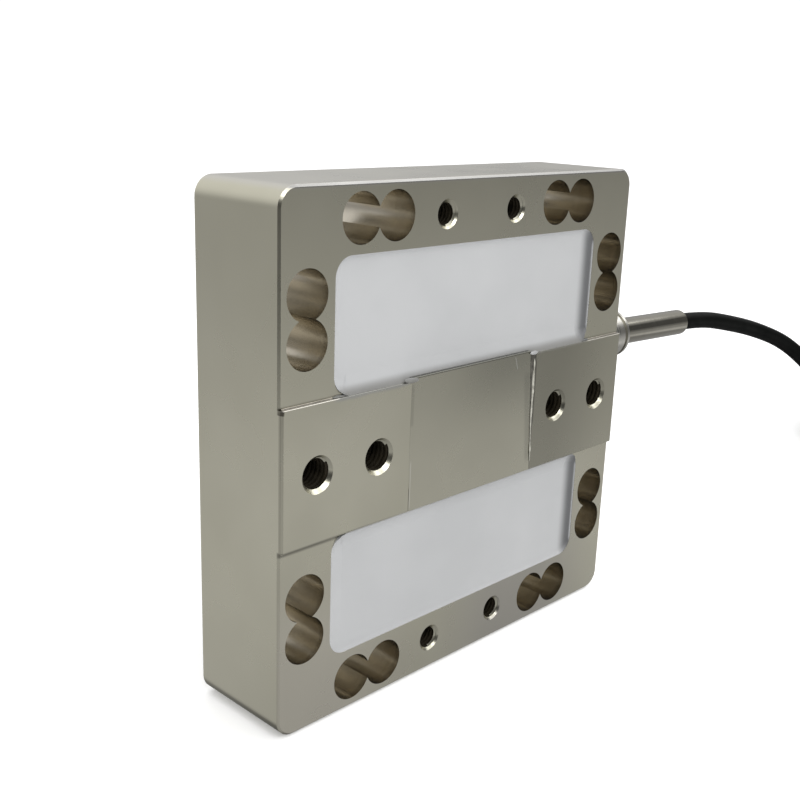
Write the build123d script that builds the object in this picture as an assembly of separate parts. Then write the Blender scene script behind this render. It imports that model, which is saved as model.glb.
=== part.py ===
"""A three-axis load cell: one machined block whose outer frame and centre bar are joined by eight
pairs of overlapping bores, with white potting, a wiring cavity, a cable gland and its cable.

Millimetres. X runs across the face, -Y is the front, Z is up. The origin is the middle of the
block's underside. The block stands on its lower side, as it was photographed.
"""
import os
from math import cos, pi, radians, sin, tan

from build123d import *

# Block
side = 120.0                # width and height of the square block
frame_depth = 28.0          # front to back of the outer frame
bar_proud = 1.0             # how far the centre bar stands out of the frame's front
bar_height = 31.2           # height of the centre bar
bar_edge = 0.25             # broken long edges of the bar and of its plate
corner_radius = 4.5         # the block's four corners, seen from the front
edge_chamfer = 0.5          # broken outer edges

# Flexures: pairs of overlapping bores, two pairs in each of the four limbs
flexure_bore = 11.0         # diameter of each bore
flexure_wall = 1.9          # thin wall left on both sides of a bore
flexure_edge = 21.9         # from the block's edge to the outer bore of a pair
flexure_pitch = 10.1        # between the two bores of a pair

# Pockets
pocket_corner = 4.5         # radius of a pocket's corners
potting_recess = 0.8        # potting below the frame's front face
potting_back_recess = 0.6   # and below its back face

# Tapped holes, drilled right through; the threads themselves are not cut
frame_tap_drill = 5.0       # for M6
frame_tap_mouth = 6.7       # diameter of the chamfered mouth
frame_tap_span_x = 24.0     # hole to hole across
frame_tap_edge = 8.0        # from the block's edge to the row of holes
load_tap_drill = 6.8        # for M8
load_tap_mouth = 8.6
load_tap_edge = 9.75        # from the block's side to the outer holes of the bar
load_tap_pitch = 18.0       # from there to the inner ones

# Wiring cavity in the bar and its cover plate
plate_from_tap = 9.85       # from the middle of an inner hole to the plate
plate_thickness = 1.2
plate_clearance = 0.1       # on each side of the plate
cavity_ledge = 1.9          # on which the plate lies, left and right
cavity_wall = 2.1           # between the cavity and a pocket
cavity_depth = 19.5         # below the plate
cavity_corner = 2.0
bead_radius = 0.55          # sealant bead on the plate's right seam
bead_length = 25.0
bead_from_pocket = 1.0      # from the upper pocket to the bead

# Junction board in the cavity
pad_thickness = 1.0
board_side_gap = 4.5        # to the cavity's sides
board_end_gap = 3.5         # to the cavity's top and bottom
board_thickness = 1.6
resistor_size = (3.2, 0.6, 1.6)
resistor_count = 4
resistor_pitch = 6.0
resistor_drop = 7.0         # the row of resistors below the middle of the board
lay_clearance = 0.1         # between the board and the leads that lie on it

# Strain gauges and their terminals on the pocket walls
gauge_length = 5.0
gauge_width = 3.2
gauge_thickness = 0.3
thrust_gauge_length = 3.6
thrust_gauge_gap = 1.0      # between the two rows of gauges
terminal_size = (10.0, 6.0, 1.0)
terminal_place = 30.0       # from the middle of the block, along the bar
harness_diameter = 2.0
harness_place = 7.0         # from the middle of the block to a lead passage
harness_bend = 3.0
harness_rise = 0.8          # above a terminal
harness_on_board = 1.0      # length of a harness that lies on the board
passage_clearance = 0.4     # round a harness in its passage

# Gland and its leaning sleeve, on the right-hand side
gland_from_cavity = 2.8     # from the cavity's top to the middle of the cable
gland_back = 14.0           # behind the frame's front face
stub_diameter = 8.0
stub_length = 7.0
collar_diameter = 14.0
collar_length = 18.2
collar_edge = 0.4
groove_width = 1.2
groove_depth = 0.8
groove_from_end = 1.4
sleeve_diameter = 7.9
sleeve_length = 42.4        # its whole length, part of it inside the collar
sleeve_lean = 2.3           # degrees that the sleeve hangs down
sleeve_seat = 4.0           # length of the sleeve inside the collar
sleeve_seat_clearance = 0.2
sleeve_edge = 0.5
seal_length = 3.8

# Cable
cable_diameter = 5.4
cable_tail_bend = 27.0      # radius where it starts to lean
cable_bore_clearance = 0.2  # round the cable in the block and in the collar
sleeve_grip_clearance = 0.05
jacket_in_cavity = 2.0      # length of jacket that shows inside the cavity
core_bundle_diameter = 3.2
core_straight = 5.0         # first run, straight out of the jacket
core_lean = 2.0             # sideways on its way down
core_across = 10.0          # last run, over the board
core_end_drop = 3.8         # its end, below the middle of the board
core_bend_rise = 1.2        # its lower bend, above the middle of the board

# The put-away hank: an oval of turns, two side by side and four high
hank_fold_radius = 16.2     # to the middle of the inner turn
hank_columns = 2
hank_layers = 4
hank_length = 92.0          # over its ends
hank_middle_x = 286.0       # its middle, seen from above
hank_middle_y = -10.5
hank_lead_in = 38.0         # from its middle back to where the free cable joins it
tie_width = 4.8
tie_thickness = 1.1         # the hank rests on the ties
tie_head = (7.0, 4.5, 5.0)

# The bare end: a shrink sleeve and eight flying leads with tinned tips
end_sleeve_length = 16.0
end_sleeve_wall = 0.5
end_sleeve_back = 32.0      # from the hank's middle back to where the sleeve starts
lead_count = 8
lead_diameter = 1.2
lead_row_gap = 1.3          # between the two rows of leads in the sleeve
lead_pitch = 0.624          # from lead to lead in the sleeve
lead_start_gap = 0.15       # lets a lead leave the sleeve at a slant
lead_clearance = 0.4        # above what the leads lie on
lead_length = 40.0
lead_fan = 1.7              # from lead to lead at the tips
lead_fan_start = 2.0        # the first tip's place beside the sleeve's middle
lead_bend_place = 0.5       # share of a lead's length before its bend
lead_bend_fan = 0.8         # share of the fan that is reached there
tip_diameter = 0.7
tip_length = 5.0

# The cable's way down from the sleeve to the hank, chosen by hand
cable_first_run = 14.0      # straight out of the sleeve
cable_route = [
    (148.0, -1.4, 65.0),
    (165.0, -2.6, 60.8),
    (182.0, -5.8, 54.7),
    (193.5, -10.6, 46.0),
    (203.0, -16.5, 35.2),
    (211.5, -22.3, 23.8),
    (220.0, -27.2, 13.0),
    (229.0, -30.7, 6.6),
]
cable_last_run = 9.5        # straight along the floor into the hank

# What follows from the dimensions above
total_depth = frame_depth + bar_proud
back_y = total_depth / 2
bar_front_y = -back_y
frame_front_y = bar_front_y + bar_proud
mid_z = side / 2
flexure_start = side / 2 - flexure_edge - flexure_pitch
frame_tap_span_z = side - 2 * frame_tap_edge
load_tap_outer_span = side - 2 * load_tap_edge
load_tap_inner_span = load_tap_outer_span - 2 * load_tap_pitch
flexure_row = side / 2 - flexure_wall - flexure_bore / 2
pocket_half = flexure_row - flexure_bore / 2 - flexure_wall
pocket_width = 2 * pocket_half
pocket_height = pocket_half - bar_height / 2
pocket_middle = bar_height / 2 + pocket_height / 2
plate_width = load_tap_inner_span - 2 * plate_from_tap
cavity_width = plate_width + 2 * plate_clearance - 2 * cavity_ledge
cavity_height = bar_height - 2 * cavity_wall
board_width = cavity_width - 2 * board_side_gap
board_height = cavity_height - 2 * board_end_gap
plate_back_y = bar_front_y + plate_thickness
cavity_floor_y = plate_back_y + cavity_depth
board_back_y = cavity_floor_y - pad_thickness
board_front_y = board_back_y - board_thickness
gland_y = frame_front_y + gland_back
gland_height = mid_z + cavity_height / 2 - gland_from_cavity
collar_end_x = side / 2 + collar_length
sleeve_start_x = collar_end_x - sleeve_seat
cable_radius = cable_diameter / 2
seat_radius = sleeve_diameter / 2 + sleeve_seat_clearance
hank_outer_radius = hank_fold_radius + (hank_columns - 1) * cable_diameter
hank_straight = hank_length - 2 * (hank_outer_radius + cable_radius)
hank_near_y = hank_middle_y - hank_outer_radius
hank_first_z = tie_thickness + cable_radius
hank_high = hank_layers * cable_diameter
hank_top = tie_thickness + hank_high


def front_plane(y):
    """A sketch plane that faces the front, centred on the block, at depth y."""
    return Plane(origin=(0, y, mid_z), x_dir=(1, 0, 0), z_dir=(0, -1, 0))


def tube(path, radius):
    """A round solid of that radius along a path."""
    profile = Plane(origin=path @ 0, z_dir=path % 0) * Circle(radius)
    return sweep(profile, path=path)


def rod_x(start, end, radius, y, z):
    """A cylinder along X."""
    return extrude(Plane(origin=(start, y, z), z_dir=(1, 0, 0)) * Circle(radius), end - start)


def rounded_route(points, share=0.45):
    """Straight runs joined by arcs, each as large as its two runs allow, and the arcs' radii."""
    radii = []
    for before, corner, after in zip(points, points[1:], points[2:]):
        into, out = Vector(*corner) - Vector(*before), Vector(*after) - Vector(*corner)
        turn = radians(into.get_angle(out))
        radii.append(share * min(into.length, out.length) / tan(turn / 2))
    return FilletPolyline(*points, radius=radii), radii


def tapped_places():
    """The frame's four hole places and the bar's four, in the plane of the face."""
    across, up = frame_tap_span_x / 2, frame_tap_span_z / 2
    frame = [(x * across, z * up) for x in (-1, 1) for z in (-1, 1)]
    spans = (load_tap_inner_span, load_tap_outer_span)
    bar = [(x * span / 2, 0.0) for span in spans for x in (-1, 1)]
    return frame, bar


def flexure_places():
    """The sixteen bore places: along the upper and lower limbs, then along the two side limbs."""
    places = []
    for row in (-flexure_row, flexure_row):
        for half in (-1, 1):
            for along in (flexure_start, flexure_start + flexure_pitch):
                places += [(half * along, row), (row, half * along)]
    return places


def make_body():
    """The one-piece block."""
    block = extrude(front_plane(back_y) * RectangleRounded(side, side, corner_radius), frame_depth)
    block = chamfer(block.faces().filter_by(Axis.Y).edges(), edge_chamfer)
    bar = extrude(front_plane(0) * Rectangle(side, bar_height), -bar_front_y)
    bar = chamfer(bar.edges().filter_by(Axis.Z).group_by(Axis.Y)[0], edge_chamfer)
    bar = chamfer(bar.edges().filter_by(Axis.X).group_by(Axis.Y)[0], bar_edge)
    body = block + bar

    frame_holes, bar_holes = tapped_places()
    through = Sketch() + [Pos(x, z) * Circle(flexure_bore / 2) for x, z in flexure_places()]
    pocket = RectangleRounded(pocket_width, pocket_height, pocket_corner)
    for up in (-1, 1):
        through += Pos(0, up * pocket_middle) * pocket
    through += [Pos(x, z) * Circle(frame_tap_drill / 2) for x, z in frame_holes]
    through += [Pos(x, z) * Circle(load_tap_drill / 2) for x, z in bar_holes]
    body -= extrude(front_plane(back_y + 1) * through, total_depth + 2)
    for drill, mouth in ((frame_tap_drill, frame_tap_mouth), (load_tap_drill, load_tap_mouth)):
        circles = body.edges().filter_by(GeomType.CIRCLE)
        rims = circles.filter_by(lambda e: abs(e.radius - drill / 2) < 1e-4)
        body = chamfer(rims, (mouth - drill) / 2)

    seat = Rectangle(plate_width + 2 * plate_clearance, bar_height + 2)
    body -= extrude(front_plane(plate_back_y) * seat, plate_thickness + 1)
    cavity = RectangleRounded(cavity_width, cavity_height, cavity_corner)
    body -= extrude(front_plane(cavity_floor_y) * cavity, cavity_depth + 1)
    passage_radius = harness_diameter / 2 + passage_clearance
    for x in (-harness_place, harness_place):
        body -= Pos(x, harness_y(), mid_z) * Cylinder(passage_radius, bar_height + 1)
    bore_radius = cable_radius + cable_bore_clearance
    body -= rod_x(0, side / 2 + 1, bore_radius, gland_y, gland_height)
    body -= rod_x(side / 2 - stub_length, side / 2 + 1, stub_diameter / 2, gland_y, gland_height)
    return body


def harness_y():
    """Depth of the harnesses, which lie on the junction board."""
    return board_front_y - lay_clearance - harness_diameter / 2


def make_gauges():
    """Foil gauges on the pocket walls, opposite the thin wall of each bore, and between bores."""
    gauges = {}
    middle_y = (frame_front_y + back_y) / 2
    seat = pocket_half - gauge_thickness / 2
    number = 1
    for up in (-1, 1):
        for half in (-1, 1):
            for along in (flexure_start, flexure_start + flexure_pitch):
                flat = Box(gauge_length, gauge_width, gauge_thickness)
                gauges[f"lift_gauge_{number}"] = Pos(half * along, middle_y, mid_z + up * seat) * flat
                upright = Box(gauge_thickness, gauge_width, gauge_length)
                gauges[f"side_gauge_{number}"] = Pos(half * seat, middle_y, mid_z + up * along) * upright
                number += 1
    number = 1
    between = flexure_start + flexure_pitch / 2
    ahead = middle_y - gauge_width - thrust_gauge_gap
    for up in (-1, 1):
        for half in (-1, 1):
            upright = Box(gauge_thickness, gauge_width, thrust_gauge_length)
            gauges[f"thrust_gauge_{number}"] = Pos(half * seat, ahead, mid_z + up * between) * upright
            number += 1
    return gauges


def make_terminals_and_harnesses():
    """A solder terminal on the bar in each quarter, and the leads from it to the junction board."""
    terminals, harnesses = {}, {}
    long, deep, thick = terminal_size
    quarter = {
        (-1, 1): "upper_left",
        (1, 1): "upper_right",
        (-1, -1): "lower_left",
        (1, -1): "lower_right",
    }
    for (half, up), name in quarter.items():
        seat = Pos(half * terminal_place, harness_y(), mid_z + up * (bar_height / 2 + thick / 2))
        terminals[f"terminal_{name}"] = seat * Box(long, deep, thick)
        run = mid_z + up * (bar_height / 2 + thick + harness_rise + harness_diameter / 2)
        path = FilletPolyline(
            (half * terminal_place, harness_y(), run),
            (half * harness_place, harness_y(), run),
            (half * harness_place, harness_y(), mid_z + up * (board_height / 2 - harness_on_board)),
            radius=harness_bend,
        )
        harnesses[f"harness_{name}"] = tube(path, harness_diameter / 2)
    return terminals, harnesses


def make_potting(up, sunk):
    """Silicone that fills one pocket, dished at the front, round whatever is sunk in it."""
    pocket = RectangleRounded(pocket_width, pocket_height, pocket_corner)
    outline = Pos(0, up * pocket_middle) * pocket
    depth = frame_depth - potting_back_recess
    potting = extrude(front_plane(back_y - potting_back_recess) * outline, depth)
    dish = offset(outline, -2 * potting_recess)
    potting -= extrude(front_plane(frame_front_y + potting_recess) * dish, 2 * potting_recess)
    for piece in sunk:
        potting -= piece
    return potting


def make_cover_plate():
    """The flush plate over the wiring cavity."""
    plate = extrude(front_plane(plate_back_y) * Rectangle(plate_width, bar_height), plate_thickness)
    return chamfer(plate.edges().filter_by(Axis.X).group_by(Axis.Y)[0], bar_edge)


def make_seam_bead():
    """A bead of sealant along the upper part of the plate's right-hand seam."""
    x = plate_width / 2 + plate_clearance / 2
    top = mid_z + bar_height / 2 - bead_from_pocket
    bead = Pos(x, bar_front_y, top - bead_length / 2) * Cylinder(bead_radius, bead_length)
    return split(bead, bisect_by=Plane(origin=(0, bar_front_y, 0), z_dir=(0, -1, 0)))


def make_board_pad():
    """The insulating pad under the junction board."""
    return extrude(front_plane(cavity_floor_y) * Rectangle(board_width, board_height), pad_thickness)


def make_junction_board():
    """The board that joins the bridges to the cable."""
    return extrude(front_plane(board_back_y) * Rectangle(board_width, board_height), board_thickness)


def make_resistors():
    """A row of trimming resistors on the board."""
    long, thick, high = resistor_size
    first = -(resistor_count - 1) / 2 * resistor_pitch
    return {
        f"trim_resistor_{i + 1}": Pos(
            first + i * resistor_pitch, board_front_y - thick / 2, mid_z - resistor_drop
        ) * Box(long, thick, high)
        for i in range(resistor_count)
    }


def make_core_bundle():
    """The cable's cores, from the end of the jacket down onto the board."""
    jacket_end = cavity_width / 2 - jacket_in_cavity
    low_y = board_front_y - lay_clearance - core_bundle_diameter / 2
    down_x = jacket_end - core_straight - core_lean
    path, _ = rounded_route([
        (jacket_end, gland_y, gland_height),
        (jacket_end - core_straight, gland_y, gland_height),
        (down_x, low_y, mid_z + core_bend_rise),
        (down_x - core_across, low_y, mid_z - core_end_drop),
    ])
    return tube(path, core_bundle_diameter / 2)


def make_gland_collar():
    """The turned collar, its stub in the block, its groove and its stepped bore."""
    face = side / 2
    collar = rod_x(face - stub_length, face, stub_diameter / 2, gland_y, gland_height)
    flange = rod_x(face, collar_end_x, collar_diameter / 2, gland_y, gland_height)
    flange = chamfer(flange.edges().sort_by(Axis.X)[-1], collar_edge)
    collar += flange
    groove_end = collar_end_x - groove_from_end
    groove_start = groove_end - groove_width
    groove = rod_x(groove_start, groove_end, collar_diameter / 2 + 1, gland_y, gland_height)
    core = collar_diameter / 2 - groove_depth
    collar -= groove - rod_x(groove_start, groove_end, core, gland_y, gland_height)
    bore_radius = cable_radius + cable_bore_clearance
    collar -= rod_x(face - stub_length, collar_end_x, bore_radius, gland_y, gland_height)
    seat_start = sleeve_start_x - seal_length - sleeve_seat_clearance
    collar -= rod_x(seat_start, collar_end_x, seat_radius, gland_y, gland_height)
    return collar


def make_gland_seal():
    """The rubber ring behind the sleeve, round the cable."""
    start = sleeve_start_x - seal_length - sleeve_seat_clearance
    end = start + seal_length
    bore_radius = cable_radius + sleeve_grip_clearance
    ring = rod_x(start, end, seat_radius, gland_y, gland_height)
    return ring - rod_x(start, end, bore_radius, gland_y, gland_height)


def sleeve_axis():
    """Where the sleeve starts, and the way that it leans."""
    lean = radians(sleeve_lean)
    return Vector(sleeve_start_x, gland_y, gland_height), Vector(cos(lean), 0, -sin(lean))


def sleeve_end():
    """The middle of the sleeve's outer end, where the cable comes out."""
    start, along = sleeve_axis()
    return start + along * sleeve_length


def make_gland_sleeve():
    """The strain-relief sleeve, swaged on the cable."""
    start, along = sleeve_axis()
    plane = Plane(origin=start, z_dir=along)
    sleeve = extrude(plane * Circle(sleeve_diameter / 2), sleeve_length)
    sleeve = chamfer(sleeve.edges().sort_by(Axis.X)[-1], sleeve_edge)
    return sleeve - extrude(plane * Circle(cable_radius + sleeve_grip_clearance), sleeve_length)


def make_cable_tail():
    """The jacketed cable inside the block and the gland."""
    start, _ = sleeve_axis()
    inner = (cavity_width / 2 - jacket_in_cavity, gland_y, gland_height)
    path = FilletPolyline(inner, start, sleeve_end(), radius=cable_tail_bend)
    return tube(path, cable_radius)


def make_signal_cable():
    """The free cable from the sleeve to the hank, its path and the radii of its arcs."""
    _, along = sleeve_axis()
    first = sleeve_end()
    join = Vector(hank_middle_x - hank_lead_in, hank_near_y, hank_first_z)
    before = join - Vector(cable_last_run, 0, 0)
    path, radii = rounded_route([first, first + along * cable_first_run, *cable_route, before, join])
    return tube(path, cable_radius), path, radii


def make_hank(path):
    """The outer shape of the put-away turns, with the short stretch that leads into them."""
    plane = Plane(origin=(hank_middle_x, hank_middle_y, tie_thickness))
    outer = hank_outer_radius + cable_radius
    inner = hank_fold_radius - cable_radius
    turns = SlotOverall(hank_straight + 2 * outer, 2 * outer)
    turns -= SlotOverall(hank_straight + 2 * inner, 2 * inner)
    ring = extrude(plane * turns, hank_high)
    ring = chamfer(ring.faces().filter_by(Axis.Z).edges(), cable_radius / 2)
    lead_in = Line(path @ 1, (hank_middle_x - hank_straight / 2, hank_near_y, hank_first_z))
    return ring + tube(lead_in, cable_radius)


def make_ties():
    """A tie round each straight side of the hank, with its head inside the oval."""
    ties = {}
    bundle = hank_columns * cable_diameter
    away = hank_outer_radius + cable_radius - bundle / 2
    inside = Rectangle(bundle, hank_high)
    wide, high = bundle + 2 * tie_thickness, hank_high + 2 * tie_thickness
    outside = RectangleRounded(wide, high, tie_thickness)
    for name, way in (("near", -1), ("far", 1)):
        band_y = hank_middle_y + way * away
        plane = Plane(
            origin=(hank_middle_x - tie_width / 2, band_y, tie_thickness + hank_high / 2),
            x_dir=(0, 1, 0), z_dir=(1, 0, 0),
        )
        band = extrude(plane * (outside - inside), tie_width)
        head_y = band_y - way * (wide / 2 - tie_thickness / 2 + tie_head[1] / 2)
        head = Pos(hank_middle_x, head_y, hank_top - tie_head[2]) * Box(*tie_head)
        ties[f"cable_tie_{name}"] = band + head
    return ties


def bare_end():
    """The middle of the shrink sleeve's outer end, on top of the hank's near side."""
    x = hank_middle_x - end_sleeve_back + end_sleeve_length
    return x, hank_near_y, hank_top + cable_radius + end_sleeve_wall


def make_end_sleeve():
    """The shrink sleeve over the end of the jacket."""
    x, y, z = bare_end()
    sleeve = rod_x(x - end_sleeve_length, x, cable_radius + end_sleeve_wall, y, z)
    return chamfer(sleeve.edges().sort_by(Axis.X)[-1], end_sleeve_wall)


def lead_routes():
    """The run of each flying lead: two rows in the sleeve, fanned out over the tie."""
    x, y, z = bare_end()
    low = hank_top + lead_clearance + lead_diameter / 2
    over_tie = low + tie_thickness
    routes = []
    for i in range(lead_count):
        row = i % 2
        tight = y + (i - (lead_count - 1) / 2) * lead_pitch
        fanned = y - lead_fan_start + i * lead_fan
        bend_x = x + lead_bend_place * lead_length
        bend_y = tight + lead_bend_fan * (fanned - tight)
        level = z + (row - 0.5) * lead_row_gap
        routes.append([
            (x + lead_start_gap, tight, level),
            (bend_x, bend_y, over_tie + row * lead_row_gap / 2),
            (x + lead_length, fanned, low),
        ])
    return routes


def make_leads():
    """Eight insulated leads, and their tinned tips as one group."""
    leads, tips = {}, []
    for i, points in enumerate(lead_routes()):
        path, _ = rounded_route(points)
        leads[f"flying_lead_{i + 1}"] = tube(path, lead_diameter / 2)
        tip = Plane(origin=path @ 1, z_dir=path % 1) * Circle(tip_diameter / 2)
        tips.append(extrude(tip, tip_length))
    return leads, Compound(children=tips)


def main():
    """Builds every piece and writes one file for each."""
    gauges = make_gauges()
    terminals, harnesses = make_terminals_and_harnesses()
    sunk = [*gauges.values(), *terminals.values(), *harnesses.values()]
    cable, cable_path, radii = make_signal_cable()
    leads, tips = make_leads()
    pieces = {
        "sensor_body": make_body(),
        "upper_potting": make_potting(1, sunk),
        "lower_potting": make_potting(-1, sunk),
        "cover_plate": make_cover_plate(),
        "seam_bead": make_seam_bead(),
        "board_pad": make_board_pad(),
        "junction_board": make_junction_board(),
        "core_bundle": make_core_bundle(),
        "gland_collar": make_gland_collar(),
        "gland_seal": make_gland_seal(),
        "gland_sleeve": make_gland_sleeve(),
        "cable_tail": make_cable_tail(),
        "signal_cable": cable,
        "cable_hank": make_hank(cable_path),
        "end_sleeve": make_end_sleeve(),
        "tinned_tips": tips,
        **gauges, **terminals, **harnesses, **make_resistors(), **make_ties(), **leads,
    }
    os.makedirs("parts", exist_ok=True)
    for name, piece in pieces.items():
        export_step(piece, f"parts/{name}.step")

    section = pi * cable_radius ** 2
    print("cable arcs, mm:", ", ".join(f"{r:.0f}" for r in radii))
    print(f"cable tube {cable_path.length:.1f} mm, volume over section {cable.volume / section:.1f} mm")
    print("pieces:", len(pieces))


main()
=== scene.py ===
# %% [markdown]
# # A multi-axis load cell, dressed in Blender
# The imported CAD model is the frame: every node keeps its place and its size, in metres, with +Z up.
# This lesson adds the camera, the light, the cable and the finishes, and remakes the pieces whose
# small shapes carry the look: the machined block, its threads, the poured silicone and the sealant.

# %% Load the frame
import bpy
from math import cos, pi, radians, sin
from mathutils import Matrix, Vector


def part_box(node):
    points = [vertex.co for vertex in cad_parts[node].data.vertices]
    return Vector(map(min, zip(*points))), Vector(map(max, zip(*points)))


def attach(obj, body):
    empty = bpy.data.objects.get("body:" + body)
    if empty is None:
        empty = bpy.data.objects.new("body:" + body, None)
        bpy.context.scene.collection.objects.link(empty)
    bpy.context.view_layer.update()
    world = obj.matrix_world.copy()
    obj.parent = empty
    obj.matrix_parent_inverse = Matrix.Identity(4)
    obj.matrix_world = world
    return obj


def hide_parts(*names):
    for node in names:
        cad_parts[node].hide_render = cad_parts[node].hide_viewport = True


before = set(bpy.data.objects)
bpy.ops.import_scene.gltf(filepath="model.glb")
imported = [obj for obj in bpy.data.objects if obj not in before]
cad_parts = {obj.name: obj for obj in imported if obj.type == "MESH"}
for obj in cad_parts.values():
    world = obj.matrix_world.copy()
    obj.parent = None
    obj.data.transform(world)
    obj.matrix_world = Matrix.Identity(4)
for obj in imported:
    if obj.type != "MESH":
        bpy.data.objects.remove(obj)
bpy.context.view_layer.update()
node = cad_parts

# %% [markdown]
# The photograph is square and was taken from in front of the left side, a little above the middle.
# The camera's place and lens come from the block's own corners and holes, so it is set as a matrix:
# its right, its up and the way it looks back along.

# %% Camera
camera_place = (-0.19194, -0.17499, 0.13809)
camera_right = Vector((0.70224, -0.71117, 0.03300))
camera_up = Vector((0.17381, 0.21621, 0.96075))
camera_back = camera_right.cross(camera_up)
camera_data = bpy.data.cameras.new("camera")
camera_data.sensor_width, camera_data.lens = 36.0, 48.74
camera_data.clip_start = 0.01
camera = bpy.data.objects.new("camera", camera_data)
bpy.context.scene.collection.objects.link(camera)
turn = Matrix((camera_right, camera_up, camera_back)).transposed().to_4x4()
camera.matrix_world = Matrix.Translation(camera_place) @ turn
bpy.context.scene.camera = camera
bpy.context.scene.view_settings.view_transform = "Standard"
print("camera looks along", tuple(round(v, 3) for v in -camera_back))

# %% [markdown]
# The room and every finish are trees of small nodes. A brightness or a mask is worked out in them by
# arithmetic, and one node does one sum. Writing each sum as a call keeps a tree readable.

# %% Arithmetic in a node tree
def maths(tree, operation, first, second=0.0):
    """A maths node between two values, each a number or a socket."""
    step = tree.nodes.new("ShaderNodeMath")
    step.operation = operation
    for socket, value in zip(step.inputs, (first, second)):
        if hasattr(value, "is_output"):
            tree.links.new(value, socket)
        else:
            socket.default_value = value
    return step.outputs["Value"]


def times(tree, *factors):
    """The product of several values, each a number or a socket."""
    product = factors[0]
    for factor in factors[1:]:
        product = maths(tree, "MULTIPLY", product, factor)
    return product


print("node trees can do sums")

# %% [markdown]
# A product picture on white. Satin metal shows the room that stands round it, and a room that is
# white all over would turn it into flat grey paint. So the floor and the sky are white to the eye and
# to matt surfaces, while reflections see a studio. The floor takes part in everything but the
# reflections, and glows a little so that it stays white where no lamp reaches.

# %% Floor
floor_glow = 0.22
bpy.ops.object.select_all(action="DESELECT")
bpy.ops.mesh.primitive_plane_add(size=60.0, location=(0.0, 0.0, -0.0004))
floor = bpy.context.object
floor.name = "floor"
white = bpy.data.materials.new("floor_white")
white.use_nodes = True
paint = white.node_tree.nodes["Principled BSDF"].inputs
paint["Base Color"].default_value = (0.95, 0.95, 0.95, 1)
paint["Roughness"].default_value = 0.9
paint["Emission Color"].default_value = (1, 1, 1, 1)
paint["Emission Strength"].default_value = floor_glow
floor.data.materials.append(white)
floor.visible_glossy = False
print("floor is laid")

# %% [markdown]
# The studio that reflections see is made of curves of grey over direction, because that gives each
# face of the block its own even tone. One pair of curves serves what faces the camera and one pair
# what faces away: a curve over height, dim at eye level, paler towards the table and bright above,
# times a curve from left to right.

# %% The room
world = bpy.data.worlds.new("soft_room")
bpy.context.scene.world = world
world.use_nodes = True
sky = world.node_tree


def sky_curve(source, stops):
    """Grey steps along a value that runs from -1 to 1."""
    spread = sky.nodes.new("ShaderNodeMapRange")
    spread.inputs["From Min"].default_value = -1.0
    ramp = sky.nodes.new("ShaderNodeValToRGB")
    while len(ramp.color_ramp.elements) < len(stops):
        ramp.color_ramp.elements.new(0.5)
    for element, (place, grey) in zip(ramp.color_ramp.elements, stops):
        element.position, element.color = (place + 1) / 2, (grey, grey, grey, 1)
    sky.links.new(source, spread.inputs["Value"])
    sky.links.new(spread.outputs["Result"], ramp.inputs["Fac"])
    return ramp.outputs["Color"]


def sky_blend(share, first, second):
    """Goes from the first value to the second as the share goes from 0 to 1."""
    rest = maths(sky, "SUBTRACT", 1.0, share)
    return maths(sky, "ADD", times(sky, first, rest), times(sky, second, share))


way = sky.nodes.new("ShaderNodeTexCoord")
split = sky.nodes.new("ShaderNodeSeparateXYZ")
sky.links.new(way.outputs["Generated"], split.inputs["Vector"])
across, along, height = split.outputs["X"], split.outputs["Y"], split.outputs["Z"]
front_height = sky_curve(height, [
    (-1.0, 0.34), (-0.58, 0.36), (-0.5, 0.31), (-0.46, 0.36), (-0.4, 0.71), (-0.32, 0.63),
    (-0.25, 0.41), (-0.13, 0.40), (-0.07, 0.25), (0.0, 0.22), (0.07, 0.10), (0.37, 0.10),
    (0.47, 0.5), (0.54, 1.4), (1.0, 1.4),
])
front_across = sky_curve(across, [
    (-1.0, 1.07), (0.5, 1.07), (0.62, 1.04), (0.72, 0.92), (0.79, 0.82), (0.84, 1.0), (1.0, 1.05),
])
rear_height = sky_curve(height, [
    (-1.0, 0.10), (-0.72, 0.12), (-0.62, 0.44), (-0.38, 0.58), (-0.2, 0.42), (-0.08, 0.35), (0.02, 0.38),
    (0.16, 0.60), (0.4, 0.80), (1.0, 0.9),
])
rear_across = sky_curve(across, [(-1.0, 1.1), (0.3, 1.05), (0.66, 0.9), (0.85, 0.68), (1.0, 0.68)])
front_share = sky_curve(along, [(-1.0, 1.0), (-0.15, 1.0), (0.15, 0.0), (1.0, 0.0)])
front_grey = times(sky, front_height, front_across)
rear_grey = times(sky, rear_height, rear_across)
all_round_grey = sky_blend(front_share, rear_grey, front_grey)
print("curves of grey:", sum(step.type == "VALTORGB" for step in sky.nodes))

# %% [markdown]
# The camera and its stand are in that studio too, and are dark, so reflections that look their way
# are dimmed, except low down at the table. What the eye sees of the room is plain white.
# Matt surfaces see it a little brighter on the right than on the left, which rounds the silicone.

# %% What the eye, matt surfaces and reflections see
room_white, right_over_left = 1.08, 0.55
to_camera = maths(sky, "ADD", times(sky, across, -0.69), times(sky, along, -0.67))
by_camera = sky_curve(to_camera, [(-1.0, 1.0), (0.25, 1.0), (0.6, 0.55), (0.85, 0.2), (1.0, 0.12)])
above_table = sky_curve(height, [(-1.0, 0.0), (-0.42, 0.0), (-0.16, 0.95), (1.0, 1.0)])
studio_grey = times(sky, all_round_grey, sky_blend(above_table, 1.0, by_camera))
light_path = sky.nodes.new("ShaderNodeLightPath")
is_seen, is_reflected = light_path.outputs["Is Camera Ray"], light_path.outputs["Is Glossy Ray"]
matt_white = maths(sky, "ADD", room_white, times(sky, across, right_over_left))
plain_white = sky_blend(is_seen, matt_white, room_white)
shown = sky_blend(is_reflected, plain_white, studio_grey)
sky.links.new(shown, sky.nodes["Background"].inputs["Color"])
print("nodes in the sky:", len(sky.nodes))

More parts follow.
